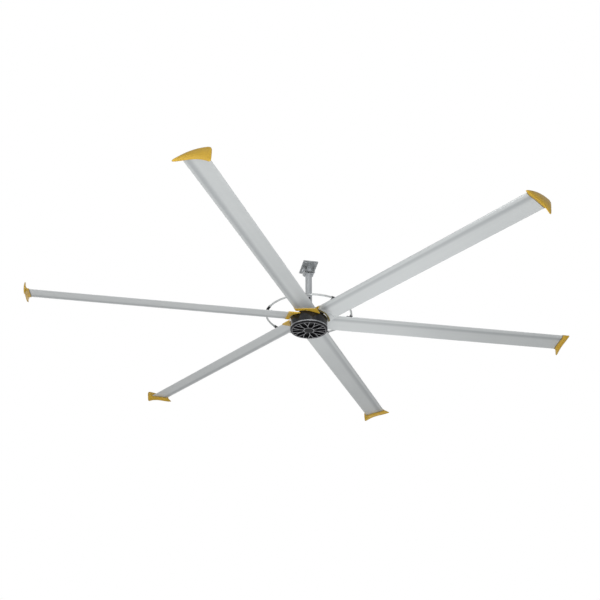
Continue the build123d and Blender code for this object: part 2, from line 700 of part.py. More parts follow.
# Motor
def make_stator_core():
    bottom = STATOR_Z - STATOR_HEIGHT / 2
    core = ring(STATOR_INNER + STATOR_YOKE, STATOR_INNER, bottom, STATOR_HEIGHT)
    tooth_length = STATOR_RADIUS - STATOR_INNER - STATOR_YOKE / 2
    start = STATOR_INNER + STATOR_YOKE / 2
    tooth = Pos(start, 0, bottom) * Box(
        tooth_length, TOOTH_WIDTH, STATOR_HEIGHT, align=(Align.MIN, Align.CENTER, Align.MIN)
    )
    shoes = ring(STATOR_RADIUS, STATOR_RADIUS - TOOTH_SHOE, bottom, STATOR_HEIGHT)
    for copy in round_copies(tooth, TOOTH_COUNT):
        core += copy
    core &= disc(STATOR_RADIUS, bottom, STATOR_HEIGHT)
    mouth = Pos(STATOR_RADIUS, 0, STATOR_Z) * Box(4 * TOOTH_SHOE, SLOT_MOUTH, 2 * STATOR_HEIGHT)
    core += shoes
    for copy in round_copies(Rot(0, 0, 180.0 / TOOTH_COUNT) * mouth, TOOTH_COUNT):
        core -= copy
    return core


def make_coils():
    inner = STATOR_INNER + STATOR_YOKE + COIL_GAP
    outer = STATOR_RADIUS - TOOTH_SHOE - COIL_GAP * 3
    length = outer - inner
    middle = (inner + outer) / 2
    hole_width = TOOTH_WIDTH + 2 * COIL_GAP
    hole_height = STATOR_HEIGHT + 2 * COIL_GAP
    block = Box(length, hole_width + 2 * COIL_BUILD, hole_height + 2 * COIL_BUILD)
    block = fillet(block.edges().filter_by(Axis.X), COIL_BUILD * 0.8)
    coil = Pos(middle, 0, STATOR_Z) * (block - Box(length * 2, hole_width, hole_height))
    return round_copies(coil, TOOTH_COUNT)


def make_stator_carrier():
    collar_bottom = LOWER_BEARING_TOP
    collar_height = UPPER_BEARING_BOTTOM - collar_bottom
    hub = ring(BEARING_BORE + CARRIER_COLLAR, BEARING_BORE + PRESS_GAP, collar_bottom, collar_height)
    web_inner = BEARING_BORE + CARRIER_COLLAR - 1
    web = ring(STATOR_INNER - 1, web_inner, STATOR_Z - CARRIER_WEB / 2, CARRIER_WEB)
    rim_outer = STATOR_INNER - PRESS_GAP
    rim = ring(rim_outer, rim_outer - CARRIER_RIM, STATOR_Z - STATOR_HEIGHT / 2, STATOR_HEIGHT)
    carrier = hub + web + rim
    hole_place = (web_inner + rim_outer) / 2
    hole = Pos(hole_place, 0, STATOR_Z) * Cylinder(CARRIER_HOLE_RADIUS, 2 * CARRIER_WEB)
    for copy in round_copies(hole, CARRIER_HOLES):
        carrier -= copy
    return carrier


def make_back_iron():
    bottom = STATOR_Z - BACK_IRON_HEIGHT / 2
    return ring(DRUM_INNER - PRESS_GAP, MAGNET_OUTER + PRESS_GAP, bottom, BACK_IRON_HEIGHT)


def make_magnets():
    span = 360.0 / MAGNET_COUNT * MAGNET_SHARE
    block = Plane.XZ * Pos((MAGNET_INNER + MAGNET_OUTER) / 2, STATOR_Z) * Rectangle(MAGNET_THICKNESS, MAGNET_HEIGHT)
    magnet = revolve(block, Axis.Z, span)
    return round_copies(magnet, MAGNET_COUNT)


# Spindle, downrod and what holds them together
def make_spindle():
    low = LOWER_BEARING_BOTTOM - CATCH_DISC_THICKNESS - LOCK_NUT_HEIGHT
    shaft = disc(BEARING_BORE - PRESS_GAP, low, COLLAR_Z - low + 1)
    collar = disc(SPINDLE_COLLAR, COLLAR_Z, SPINDLE_COLLAR_HEIGHT)
    plug = disc(DOWNROD_INNER - RUNNING_GAP, DOWNROD_BOTTOM - 1, PLUG_LENGTH + 1)
    spindle = shaft + collar + plug - disc(SPINDLE_BORE, low - 1, 600)
    for rise in SPINDLE_BOLT_RISES:
        spindle -= across_y(Cylinder(M12_RADIUS + PRESS_GAP, 100), BLADE_Z + rise)
    return spindle


def across_y(shape, height):
    """Turns a shape made along Z to lie along Y at a height on the axis, its top at the front."""
    return Pos(0, 0, height) * Rot(90, 0, 0) * shape


def across_x(shape, height):
    """Turns a shape made along Z to lie along X at a height on the axis."""
    return Pos(0, 0, height) * Rot(0, 90, 0) * shape


def make_downrod():
    tube = ring(DOWNROD_OUTER, DOWNROD_INNER, DOWNROD_BOTTOM, DOWNROD_TOP - DOWNROD_BOTTOM)
    for rise in SPINDLE_BOLT_RISES:
        tube -= across_y(Cylinder(M12_RADIUS + PRESS_GAP, 100), BLADE_Z + rise)
    return tube


def make_downrod_bolts():
    length = 2 * DOWNROD_OUTER + M12_HEAD_HEIGHT + 4
    bolt = Pos(0, 0, DOWNROD_OUTER) * hex_bolt(M12_RADIUS, length, M12_HEAD_RADIUS, M12_HEAD_HEIGHT)
    return [across_y(bolt, BLADE_Z + rise) for rise in SPINDLE_BOLT_RISES]


def make_downrod_nuts():
    nut = Pos(0, 0, -DOWNROD_OUTER - M12_HEAD_HEIGHT - 0.5) * extrude(
        RegularPolygon(M12_HEAD_RADIUS, 6) - Circle(M12_RADIUS + PRESS_GAP), M12_HEAD_HEIGHT
    )
    return [across_y(nut, BLADE_Z + rise) for rise in SPINDLE_BOLT_RISES]


def make_grommet():
    top = DOWNROD_BOTTOM + PLUG_LENGTH
    body = ring(SPINDLE_BORE - PRESS_GAP, SPINDLE_BORE - GROMMET_WALL, top - 3 * GROMMET_FLANGE, 3 * GROMMET_FLANGE)
    flange = ring(SPINDLE_BORE + GROMMET_WALL, SPINDLE_BORE - GROMMET_WALL, top, GROMMET_FLANGE)
    return body + flange


def make_catch_disc():
    bottom = LOWER_BEARING_BOTTOM - CATCH_DISC_THICKNESS
    return ring(CATCH_DISC_RADIUS, BEARING_BORE + PRESS_GAP, bottom, CATCH_DISC_THICKNESS)


def make_lock_nut():
    bottom = LOWER_BEARING_BOTTOM - CATCH_DISC_THICKNESS - LOCK_NUT_HEIGHT
    nut = ring(LOCK_NUT_RADIUS, BEARING_BORE + PRESS_GAP, bottom, LOCK_NUT_HEIGHT)
    notch = Pos(LOCK_NUT_RADIUS, 0, bottom) * Box(6, 5, 4 * LOCK_NUT_HEIGHT)
    for copy in round_copies(notch, 4):
        nut -= copy
    return nut


# Ceiling plate and its clevis, the gimbal block, and the yoke on the downrod
def make_ceiling_plate():
    outline = RectangleRounded(PLATE_WIDTH, PLATE_DEPTH, PLATE_CORNER)
    slot = SlotOverall(SLOT_LENGTH, 2 * SLOT_RADIUS)
    for end in (-1, 1):
        outline -= Pos(0, end * SLOT_SPACING_Y / 2) * Circle(TETHER_HOLE_RADIUS)
        for side in (-1, 1):
            outline -= Pos(side * SLOT_SPACING_X / 2, end * SLOT_SPACING_Y / 2) * slot
    return extrude(outline, -PLATE_THICKNESS)


def make_clevis_ears():
    height = SWIVEL_DROP - PLATE_THICKNESS + EAR_BELOW_PIN
    ear = Box(EAR_WIDTH, EAR_THICKNESS, height, align=(Align.CENTER, Align.MIN, Align.MAX))
    corners = ear.edges().filter_by(Axis.Y).sort_by(Axis.Z)[:2]
    ear = Pos(0, EAR_INNER, -PLATE_THICKNESS) * fillet(corners, EAR_CORNER)
    ear -= across_y(Cylinder(SWIVEL_PIN_RADIUS + PRESS_GAP, 200), SWIVEL_Z)
    return [ear, Rot(0, 0, 180) * ear]


def make_yoke():
    height = YOKE_TOP - YOKE_BOTTOM
    align = (Align.CENTER, Align.CENTER, Align.MIN)
    outside = Pos(0, 0, YOKE_BOTTOM) * Box(YOKE_WIDTH, YOKE_DEPTH, height, align=align)
    outside = fillet(lower_edges(outside), YOKE_CORNER)
    inside = Pos(0, 0, DOWNROD_TOP) * Box(2 * YOKE_INNER, YOKE_DEPTH + 2, height, align=align)
    strap = outside - fillet(lower_edges(inside), YOKE_CORNER - YOKE_THICKNESS)
    strap = fillet(strap.edges().filter_by(Axis.X).sort_by(Axis.Z)[-4:], YOKE_TOP_CORNER)
    strap -= disc(DOWNROD_OUTER + PRESS_GAP, YOKE_BOTTOM - 1, YOKE_THICKNESS + 2)
    return strap - across_x(Cylinder(SWIVEL_PIN_RADIUS + PRESS_GAP, 2 * YOKE_WIDTH), SWIVEL_Z)


def lower_edges(box):
    """The two lowest edges of a box that run along Y."""
    return box.edges().filter_by(Axis.Y).sort_by(Axis.Z)[:2]


def swivel_pin(block_half, seat, wall):
    """A shoulder screw along Z: its shank starts in the block and its head is outside the wall."""
    start = block_half - SWIVEL_PIN_GRIP
    shank = disc(SWIVEL_PIN_RADIUS, start, seat + wall - start)
    head = extrude(RegularPolygon(SWIVEL_HEAD_RADIUS, 6), SWIVEL_HEAD_HEIGHT)
    return shank + Pos(0, 0, seat + wall) * head


def make_clevis_pins():
    pin = swivel_pin(GIMBAL_HALF_DEPTH, EAR_INNER, EAR_THICKNESS)
    return [across_y(pin, SWIVEL_Z), across_y(Rot(180, 0, 0) * pin, SWIVEL_Z)]


def make_yoke_pins():
    pin = swivel_pin(GIMBAL_HALF_WIDTH, YOKE_INNER, YOKE_THICKNESS)
    return [across_x(pin, SWIVEL_Z), across_x(Rot(180, 0, 0) * pin, SWIVEL_Z)]


def bush_body(block_half, gap):
    """The part of a bush that sits in the block, its radius grown by the gap."""
    start = block_half - SWIVEL_PIN_GRIP
    return disc(SWIVEL_PIN_RADIUS + BUSH_WALL + gap, start, SWIVEL_PIN_GRIP)


def make_gimbal_block():
    block = Box(2 * GIMBAL_HALF_WIDTH, 2 * GIMBAL_HALF_DEPTH, GIMBAL_HEIGHT)
    block = Pos(0, 0, SWIVEL_Z) * fillet(block.edges().filter_by(Axis.Z), GIMBAL_CORNER)
    block -= Pos(0, 0, SWIVEL_Z) * Cylinder(CABLE_WAY, 2 * GIMBAL_HEIGHT)
    for turn in (0, 180):
        block -= across_x(Rot(turn, 0, 0) * bush_body(GIMBAL_HALF_WIDTH, PRESS_GAP), SWIVEL_Z)
        block -= across_y(Rot(turn, 0, 0) * bush_body(GIMBAL_HALF_DEPTH, PRESS_GAP), SWIVEL_Z)
    return block


def make_gimbal_bushes():
    bushes = []
    for half, across in ((GIMBAL_HALF_WIDTH, across_x), (GIMBAL_HALF_DEPTH, across_y)):
        bush = bush_body(half, 0) + disc(BUSH_FLANGE_RADIUS, half, BUSH_FLANGE)
        bush -= Cylinder(SWIVEL_PIN_RADIUS + RUNNING_GAP, 4 * GIMBAL_HALF_WIDTH)
        bushes += [across(bush, SWIVEL_Z), across(Rot(180, 0, 0) * bush, SWIVEL_Z)]
    return bushes


def group(solids):
    """Several separate solids as one node."""
    return Compound([part for solid in solids for part in solid.solids()])


def round_group(solids):
    """The pieces of one blade, repeated at every blade, as one node."""
    return group([copy for solid in solids for copy in round_copies(solid, BLADE_COUNT)])


def make_nodes():
    nodes = {
        "ceiling_plate": make_ceiling_plate(),
        "clevis_ears": group(make_clevis_ears()),
        "clevis_pins": group(make_clevis_pins()),
        "gimbal_block": make_gimbal_block(),
        "gimbal_bushes": group(make_gimbal_bushes()),
        "yoke": make_yoke(),
        "yoke_pins": group(make_yoke_pins()),
        "downrod": make_downrod(),
        "downrod_bolts": group(make_downrod_bolts()),
        "downrod_nuts": group(make_downrod_nuts()),
        "spindle": make_spindle(),
        "cable_grommet": make_grommet(),
        "stator_carrier": make_stator_carrier(),
        "stator_core": make_stator_core(),
        "stator_coils": group(make_coils()),
        "bearing_inner_rings": group(
            bearing_rings(BEARING_BORE, BEARING_BORE + RACE_WALL, BODY_GAP)
        ),
        "catch_disc": make_catch_disc(),
        "lock_nut": make_lock_nut(),
        "rotor_drum": make_drum(),
        "back_iron": make_back_iron(),
        "magnets": group(make_magnets()),
        "clamp_plate": make_clamp_plate(),
        "blade_arms": round_group([make_arm()]),
        "arm_bolts": group(make_arm_bolts()),
        "shaft_seal": make_shaft_seal(),
        "bearing_outer_rings": group(
            bearing_rings(BEARING_OUTER - RACE_WALL, BEARING_OUTER, RUNNING_GAP)
        ),
        "bearing_balls": group(make_balls()),
        "finned_cover": make_cover(),
        "trim_ring": make_trim_ring(),
        "centre_cap": make_centre_cap(),
        "cover_screws": group(make_cover_screws()),
        "blade_bolts": round_group(make_blade_bolts()),
        "trim_screws": round_group(make_trim_screws()),
        "ring_clamps": round_group([make_ring_clamp()]),
    }
    repeated = {
        "blade": make_blade(),
        "winglet": make_winglet(),
        "root_cap": make_root_cap(),
        "ring_segment": make_ring_segment(),
    }
    for name, shape in repeated.items():
        for i, copy in enumerate(round_copies(shape, BLADE_COUNT)):
            nodes[f"{name}_{i + 1}"] = copy
    return nodes


def main():
    os.makedirs("parts", exist_ok=True)
    for name, shape in make_nodes().items():
        export_step(shape, f"parts/{name}.step")


if __name__ == "__main__":
    main()
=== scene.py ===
"""Looks of a six-blade ceiling fan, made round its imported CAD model. Lengths are in metres."""
import math

import bmesh
import bpy
from mathutils import Matrix, Vector


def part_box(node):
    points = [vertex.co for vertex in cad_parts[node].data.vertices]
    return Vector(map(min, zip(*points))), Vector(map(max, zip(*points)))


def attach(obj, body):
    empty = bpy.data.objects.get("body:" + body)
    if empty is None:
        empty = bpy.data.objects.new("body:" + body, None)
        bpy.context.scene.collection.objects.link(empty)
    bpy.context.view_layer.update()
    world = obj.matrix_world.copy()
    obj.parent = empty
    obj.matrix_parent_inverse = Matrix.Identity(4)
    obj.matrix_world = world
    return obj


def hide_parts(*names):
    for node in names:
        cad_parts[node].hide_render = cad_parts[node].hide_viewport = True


BLADES = 6
HUB_HEIGHT = -0.540
FLOOR_HEIGHT = -4.7
FLOOR_RADIUS = 60.0

# The blade's section, the same as in the CAD. HOLLOW is how deep its underside is hollowed.
CHORD = 0.204
THICKNESS = 0.0275
HALF_BACK_EDGE = 0.0015
THICKNESS_OF_ROOT = 0.2969
THICKNESS_OF_POWERS = (-0.1260, -0.3516, 0.2843, -0.1036)
CAMBER = 0.0071
CAMBER_PLACE = 0.4
HOLLOW = 0.004
HOLLOW_PLACE = 0.5
HOLLOW_HALF = 0.4
PITCH = math.radians(11.1)
PITCH_AXIS = 0.0673
PITCH_AXIS_RISE = 0.00675
TIP = 2.417

# The winglet's collar, which goes over the blade's tip.
COLLAR_START = TIP - 0.010
COLLAR_END = TIP - 0.001
COLLAR_WALL = 0.004
SLIDE_GAP = 0.0003
OUTLINE_STEPS = 26
BACK_STEPS = 9

# The winglet's fin. Its lines hold points across the blade and up, seen along the blade.
FIN_MIDDLE = 0.034
FIN_HALF = 0.156
FIN_FRONT = (-0.134, -0.007)
FIN_BACK_TOP = (0.170, 0.031)
FIN_BACK_FOOT = (0.162, -0.086)
FIN_OVER = (FIN_FRONT, (FIN_MIDDLE, 0.036), FIN_BACK_TOP)
FIN_UNDER = (FIN_FRONT, (-0.066, -0.020), (FIN_MIDDLE, -0.032), FIN_BACK_FOOT)
FIN_SPINE = (FIN_FRONT, (FIN_MIDDLE, 0.0), (0.166, -0.028))
SPINE_START, SPINE_END = -0.1, 0.14
RIM_CENTRE = (0.02, 0.0)
FIN_SMOOTHINGS = 4
FIN_REACH = 0.022
FIN_BULGE = 0.005
FIN_LEAN = 0.1
FIN_DOME = 0.007
FIN_RIM = 0.007

# The sweep's loops, in degrees of a quarter turn from the collar to the fin's rim.
SWEEP_TURNS = (15, 30, 45, 58, 70, 80, 90)
# The rim's loops: how far inwards they lie, as a share of the way, and how deep, as a share of the rim.
RIM_LOOPS = ((-0.008, 0.75), (-0.008, 0.3), (0.004, 0.0))
# The loops of the fin's outer face, as shares of the way from the rim to the spine.
FACE_LOOPS = (0.06, 0.15, 0.3, 0.45, 0.65, 0.9)

# Where colours change: across the blade, above its chord, out from the fan's axis, or up.
# Across the blade's underside, between these places, a band of painted shade.
SHADE_BAND_DARKENS = (-0.05, -0.026)
SHADE_BAND_FADES = (-0.022, 0.02)
UPPER_SIDE = (0.0, 0.006)
# Out along the blade, where a dark joint line with painted shadow of the winglet's collar begins.
SEAM_AND_SHADOW = (COLLAR_START - 0.007, COLLAR_START - 0.005)
# Out from the fan's axis, where the edged root cap's painted shade (olive) ends.
SHADED_YELLOW_EDGE = (0.188, 0.192)
YELLOW_FRONT = (-0.059, -0.056)
YELLOW_RISE = (HUB_HEIGHT + 0.005, HUB_HEIGHT + 0.008)
COVER_RIM = (0.151, 0.153)
COVER_MIDDLE = (0.041, 0.0425)
MACHINED_RISE = (0.0006, 0.0014)

# How close grain lies in each direction. The first two run along the blade.
DRAWN = (2.0, 420.0, 420.0)
BANDS = (0.6, 26.0, 26.0)
FINE_GRAIN = (300.0, 300.0, 300.0)

# Numbers that several finishes share.
SILVER_ROUGH = 0.38
SILVER_METALLIC = 0.45
DULL = {"Specular IOR Level": 0.15}

# The photograph's view. Angles are in degrees, and the lens is in millimetres.
CAMERA_PLACE = (-1.303, -6.565, -4.049)
CAMERA_LOOKS_UP = 28.95
CAMERA_TO_RIGHT = 10.55
CAMERA_LENS = 50.7

# The light: the world's level on the object, and each lamp's name, place, size and power in watts.
AMBIENT = 0.14
LAMPS = (
    ("front_low", (0.0, -6.5, -3.9), 3.0, 140.0),
    ("front_below", (-0.7, -3.0, -4.4), 2.0, 130.0),
    ("left_below", (-3.0, -2.5, -4.3), 2.0, 50.0),
    ("back_below", (1.0, 3.0, -4.5), 3.0, 20.0),
    ("left_front", (-6.0, -5.0, -1.5), 3.0, 55.0),
    ("high_front", (-2.0, -6.0, 4.5), 8.0, 90.0),
    ("high_back", (0.0, 7.0, 4.5), 8.0, 160.0),
)


def shade(red, green, blue):
    """A colour given as 0 to 255 on a screen, as the linear numbers a shader takes."""
    def linear(part):
        part = part / 255
        return part / 12.92 if part <= 0.04045 else ((part + 0.055) / 1.055) ** 2.4
    return (linear(red), linear(green), linear(blue), 1.0)


class Value:
    """An output of a node. Arithmetic on it adds Math nodes."""

    def __init__(self, nodes, socket):
        self.nodes = nodes
        self.socket = socket

    def __add__(self, other):
        return self.nodes.math("ADD", self, other)

    def __radd__(self, other):
        return self.nodes.math("ADD", other, self)

    def __sub__(self, other):
        return self.nodes.math("SUBTRACT", self, other)

    def __rsub__(self, other):
        return self.nodes.math("SUBTRACT", other, self)

    def __mul__(self, other):
        return self.nodes.math("MULTIPLY", self, other)

    def __truediv__(self, other):
        return self.nodes.math("DIVIDE", self, other)

    def ramp(self, low, high, from_value=0.0, to_value=1.0):
        """Goes smoothly from from_value at low to to_value at high."""
        return self.nodes.node(
            "ShaderNodeMapRange",
            {"interpolation_type": "SMOOTHSTEP"},
            {0: self, 1: low, 2: high, 3: from_value, 4: to_value},
        )

    def fall(self, low, high):
        """Goes smoothly from 1 at low to 0 at high."""
        return self.ramp(low, high, 1.0, 0.0)


class Nodes:
    """The node tree of a material or of the world, made empty."""

    def __init__(self, owner):
        owner.use_nodes = True
        self.tree = owner.node_tree
        self.tree.nodes.clear()

    def node(self, kind, settings=None, values=None, out=0):
        """Adds a node, sets it, feeds its sockets, and gives one of its outputs."""
        made = self.tree.nodes.new(kind)
        for setting, chosen in (settings or {}).items():
            setattr(made, setting, chosen)
        for socket, value in (values or {}).items():
            if isinstance(value, Value):
                self.tree.links.new(value.socket, made.inputs[socket])
            else:
                made.inputs[socket].default_value = value
        return Value(self, made.outputs[out])

    def show(self, output, shader):
        """Ends the tree: the shader goes to the surface of its output node."""
        end = self.tree.nodes.new(output)
        self.tree.links.new(shader.socket, end.inputs["Surface"])

    def math(self, operation, *values):
        """Adds a Math node and gives its result."""
        return self.node("ShaderNodeMath", {"operation": operation}, dict(enumerate(values)))

    def seen(self):
        """1 where the eye looks, straight, in a mirror or through glass, and 0 for light on a surface."""
        rays = ("Is Camera Ray", "Is Glossy Ray", "Is Transmission Ray")
        camera, glossy, transmission = (self.node("ShaderNodeLightPath", out=ray) for ray in rays)
        return self.math("MAXIMUM", self.math("MAXIMUM", camera, glossy), transmission)


class Finish(Nodes):
    """A material made of nodes, for one kind of surface of the fan."""

    def __init__(self, name):
        self.material = bpy.data.materials.new(name)
        super().__init__(self.material)
        self.place = self.node("ShaderNodeTexCoord", out="Object")

    def noise(self, scale, detail=2.0, place=None):
        """Soft noise, 0 to 1, with scale patches in a metre."""
        values = {"Vector": place or self.place, "Scale": scale, "Detail": detail}
        return self.node("ShaderNodeTexNoise", {}, values)

    def stretched(self, size, place=None):
        """The place, with each direction scaled, for grain that runs one way."""
        return self.node("ShaderNodeMapping", {}, {"Vector": place or self.place, "Scale": size})

    def parts(self, place=None):
        """The three coordinates of the place."""
        split = self.node("ShaderNodeSeparateXYZ", {}, {0: place or self.place})
        return [Value(self, split.socket.node.outputs[axis]) for axis in "XYZ"]

    def from_axis(self):
        """How far the place is from the fan's axis."""
        x, y, _ = self.parts()
        return self.math("SQRT", x * x + y * y)

    def beside_blade(self):
        """The place turned into the nearest blade's own directions: along it, across it and up."""
        x, y, _ = self.parts()
        step = math.tau / BLADES
        nearest = self.math("ROUND", self.math("ARCTAN2", y, x) / step) * step
        values = {"Vector": self.place, "Angle": nearest * -1}
        return self.node("ShaderNodeVectorRotate", {"rotation_type": "Z_AXIS"}, values)

    def blended(self, factor, first, second):
        """A colour between two others."""
        return self.node("ShaderNodeMix", {"data_type": "RGBA"}, {0: factor, 6: first, 7: second}, out=2)

    def bump(self, height, depth, strength):
        """Small relief: height is 0 to 1, and depth is its size in metres."""
        return self.node("ShaderNodeBump", {}, {"Height": height, "Distance": depth, "Strength": strength})

    def surface(self, colour, roughness, metallic=0.0, normal=None, constants=None):
        """The shader and the material's output, and the material made so."""
        values = {"Base Color": colour, "Roughness": roughness, "Metallic": metallic, **(constants or {})}
        if normal:
            values["Normal"] = normal
        self.show("ShaderNodeOutputMaterial", self.node("ShaderNodeBsdfPrincipled", {}, values))
        return self.material


def blade_silver():
    """Anodised aluminium drawn along the blade, with a painted shade band along its underside and a dark
    joint line with painted shadow beside the winglet.
    """
    finish = Finish("blade_silver")
    along = finish.beside_blade()
    drawn = finish.noise(1.0, 3.0, finish.stretched(DRAWN, along))
    bands = finish.noise(1.0, 2.0, finish.stretched(BANDS, along))
    clouds = finish.noise(2.2, 3.0)
    tone = (drawn - 0.5) * 0.3 + (bands - 0.5) * 0.5 + (clouds - 0.5) * 0.6 + 0.5
    out, across, up = finish.parts(along)
    over_chord = up - (HUB_HEIGHT + PITCH_AXIS_RISE) + across * math.tan(PITCH)
    # Painted shade: a darker band along the blade's underside.
    shade_band = across.ramp(*SHADE_BAND_DARKENS) * across.fall(*SHADE_BAND_FADES) * over_chord.fall(*UPPER_SIDE)
    silver = finish.blended(tone, shade(196, 200, 201), shade(210, 213, 213))
    band_shaded = finish.blended(shade_band * 0.75, silver, shade(168, 172, 174))
    # Painted shadow: a dark joint line on the blade beside the winglet's collar.
    colour = finish.blended(out.ramp(*SEAM_AND_SHADOW) * 0.8, band_shaded, shade(78, 74, 64))
    rough = SILVER_ROUGH + (bands - 0.5) * 0.08 + (clouds - 0.5) * 0.1
    return finish.surface(colour, rough, SILVER_METALLIC, finish.bump(drawn, 0.00001, 0.3))


def silver_root(name, edged):
    """A root cap in the blade's silver. The edged one has painted shade next to the drum, its yellow
    darkened to olive there, and is yellow in front.
    """
    finish = Finish(name)
    along = finish.beside_blade()
    drawn = finish.noise(1.0, 3.0, finish.stretched(DRAWN, along))
    colour = finish.blended(drawn, shade(196, 200, 201), shade(208, 211, 211))
    rough, metallic = SILVER_ROUGH, SILVER_METALLIC
    if edged:
        _, across, up = finish.parts(along)
        front = across.fall(*YELLOW_FRONT) * up.ramp(*YELLOW_RISE)
        # Painted shade: next to the drum the cap's yellow is darkened to olive.
        coloured = finish.math("MAXIMUM", finish.from_axis().fall(*SHADED_YELLOW_EDGE), front)
        painted_shade_or_yellow = finish.blended(front, shade(112, 100, 48), shade(204, 165, 50))
        colour = finish.blended(coloured, colour, painted_shade_or_yellow)
        rough = SILVER_ROUGH + coloured * 0.1
        metallic = SILVER_METALLIC - coloured * SILVER_METALLIC
    return finish.surface(colour, rough, metallic, finish.bump(drawn, 0.00001, 0.3))


def machined_cover(bottom):
    """Black cast cover whose rib faces, which lie lowest, are machined bare. Its rim stays dark."""
    finish = Finish("finned_cover")
    away = finish.from_axis()
    _, _, up = finish.parts()
    inside = away.ramp(*COVER_RIM, 1.0, 0.12) * away.ramp(*COVER_MIDDLE)
    bare_to, cast_from = (bottom + rise for rise in MACHINED_RISE)
    low = up.fall(bare_to, cast_from) * inside
    clouds = finish.noise(20.0, 3.0)
    cast = finish.blended(clouds, shade(12, 12, 14), shade(20, 20, 23))
    bare = finish.blended(clouds, shade(146, 147, 150), shade(166, 167, 170))
    normal = finish.bump(finish.noise(420.0, 3.0), 0.00012, 0.5)
    return finish.surface(finish.blended(low, cast, bare), 0.5 - low * 0.14, low * 0.6, normal, DULL)


def moulded_yellow():
    """Satin moulded plastic with a fine grain."""
    finish = Finish("cap_yellow")
    clouds = finish.noise(9.0, 3.0)
    colour = finish.blended(clouds, shade(198, 160, 46), shade(208, 169, 54))
    normal = finish.bump(finish.noise(700.0), 0.00002, 0.4)
    return finish.surface(colour, 0.42 + (clouds - 0.5) * 0.12, 0.0, normal)


def painted(name, light, dark, rough, metallic=0.0, grain_size=520.0, constants=None):
    """Powder coat: an even colour with a fine orange peel."""
    finish = Finish(name)
    clouds = finish.noise(14.0, 3.0)
    colour = finish.blended(clouds, dark, light)
    normal = finish.bump(finish.noise(grain_size), 0.00005, 0.5)
    return finish.surface(colour, rough + (clouds - 0.5) * 0.12, metallic, normal, constants)


def plain_metal(name, light, dark, rough):
    """Bare or plated metal with fine grain and slight staining."""
    finish = Finish(name)
    lines = finish.noise(1.0, 3.0, finish.stretched(FINE_GRAIN))
    clouds = finish.noise(24.0, 4.0)
    colour = finish.blended(clouds, dark, light)
    roughness = rough + (lines - 0.5) * 0.12 + (clouds - 0.5) * 0.12
    return finish.surface(colour, roughness, 1.0, finish.bump(lines, 0.00002, 0.5))


FINISHES = {
    "blade_silver": blade_silver(),
    "cap_yellow": moulded_yellow(),
    "bracket_paint": painted("bracket_paint", shade(166, 170, 172), shade(152, 156, 158), 0.4, 0.3),
    "downrod_paint": painted("downrod_paint", shade(190, 194, 197), shade(180, 184, 187), 0.4, 0.2),
    "ring_grey": painted("ring_grey", shade(196, 199, 199), shade(186, 189, 190), 0.38, 0.2),
    "clamp_black": painted("clamp_black", shade(44, 45, 48), shade(32, 33, 36), 0.45),
    "drum_gloss": painted("drum_gloss", shade(20, 19, 22), shade(13, 12, 15), 0.2, 0.0, 180.0),
    "cover_black": painted("cover_black", shade(22, 23, 25), shade(15, 16, 18), 0.5, constants=DULL),
    "rubber_black": painted("rubber_black", shade(40, 40, 40), shade(28, 28, 28), 0.75),
    "black_bolt": plain_metal("black_bolt", shade(52, 52, 54), shade(38, 38, 40), 0.4),
    "zinc_steel": plain_metal("zinc_steel", shade(206, 208, 212), shade(184, 187, 192), 0.34),
    "bronze": plain_metal("bronze", shade(186, 150, 98), shade(160, 124, 78), 0.36),
    "ground_steel": plain_metal("ground_steel", shade(196, 198, 202), shade(178, 180, 184), 0.22),
    "cast_aluminium": plain_metal("cast_aluminium", shade(200, 202, 204), shade(176, 178, 180), 0.5),
    "core_steel": plain_metal("core_steel", shade(92, 98, 108), shade(72, 78, 88), 0.5),
    "copper_wire": plain_metal("copper_wire", shade(196, 116, 66), shade(160, 88, 46), 0.34),
    "magnet_plate": plain_metal("magnet_plate", shade(196, 194, 190), shade(172, 170, 166), 0.2),
    "bright_trim": plain_metal("bright_trim", shade(176, 177, 180), shade(160, 161, 164), 0.3),
}


def dress(nodes):
    """Gives every CAD node the finish of its slot, and three of them one of their own."""
    for node in nodes.values():
        for index, old in enumerate(node.data.materials):
            node.data.materials[index] = FINISHES[old.name.split(".")[0]]
    nodes["finned_cover"].data.materials[0] = machined_cover(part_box("finned_cover")[0].z)
    nodes["root_cap_1"].data.materials[0] = silver_root("silver_root", False)
    nodes["root_cap_6"].data.materials[0] = silver_root("edged_root", True)


def section_height(place, side):
    """The section's height at a place from 0 in front to 1 behind, above (+1) or below (-1)."""
    powers = enumerate(THICKNESS_OF_POWERS, 1)
    shape = THICKNESS_OF_ROOT * math.sqrt(place) + sum(factor * place**power for power, factor in powers)
    half = 5 * THICKNESS * shape + HALF_BACK_EDGE * place
    reach = CAMBER_PLACE if place < CAMBER_PLACE else 1 - CAMBER_PLACE
    camber = CAMBER * (1 - ((place - CAMBER_PLACE) / reach) ** 2)
    hollow = HOLLOW * (1 - min(1.0, abs(place - HOLLOW_PLACE) / HOLLOW_HALF) ** 2) ** 2
    return camber + side * half + (hollow if side < 0 else 0.0)


def section_point(place, side, grow):
    """A point of the section grown by a wall, as its distance behind the pitch axis and its height."""
    if place == 0:
        return -PITCH_AXIS - grow, 0.0
    step = min(place, 1 - place, 0.01) / 2 + 0.0001
    before, after = place - step, min(place + step, 1.0)
    slope = (section_height(after, side) - section_height(before, side)) / ((after - before) * CHORD)
    size = math.hypot(1.0, slope)
    behind = place * CHORD - PITCH_AXIS - side * slope / size * grow
    return behind, section_height(place, side) + side * grow / size


